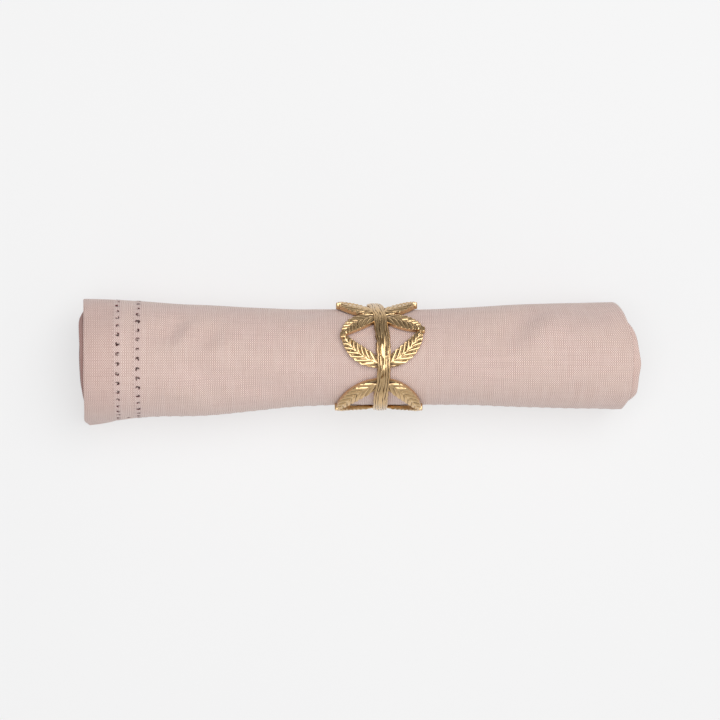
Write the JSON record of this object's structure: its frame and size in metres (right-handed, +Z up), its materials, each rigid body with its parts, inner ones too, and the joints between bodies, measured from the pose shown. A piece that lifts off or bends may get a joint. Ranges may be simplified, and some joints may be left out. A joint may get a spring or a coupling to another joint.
{
  "type": "cloth napkin rolled in a napkin ring",
  "caption": "Hemstitched cotton table napkin, folded in half and rolled up, held at the waist by an openwork cast brass ring of twig and leaves.",
  "frame": {"origin": "middle of the part's footprint, on the surface that it rests on", "axes": "+X along the roll, from the hemmed edges to the folded end; +Z up; -Y the front, where the loose edge of the cloth comes down"},
  "size_m": [0.2548, 0.0593, 0.0506],
  "materials": {
    "cotton": "plain-woven cotton, washed, pale dusty pink, matt",
    "brass": "cast brass, polished on the high parts and dark in the grooves"
  },
  "bodies": {
    "root": {"napkin_roll": "cotton", "napkin_ring": "brass"}
  },
  "joints": []
}
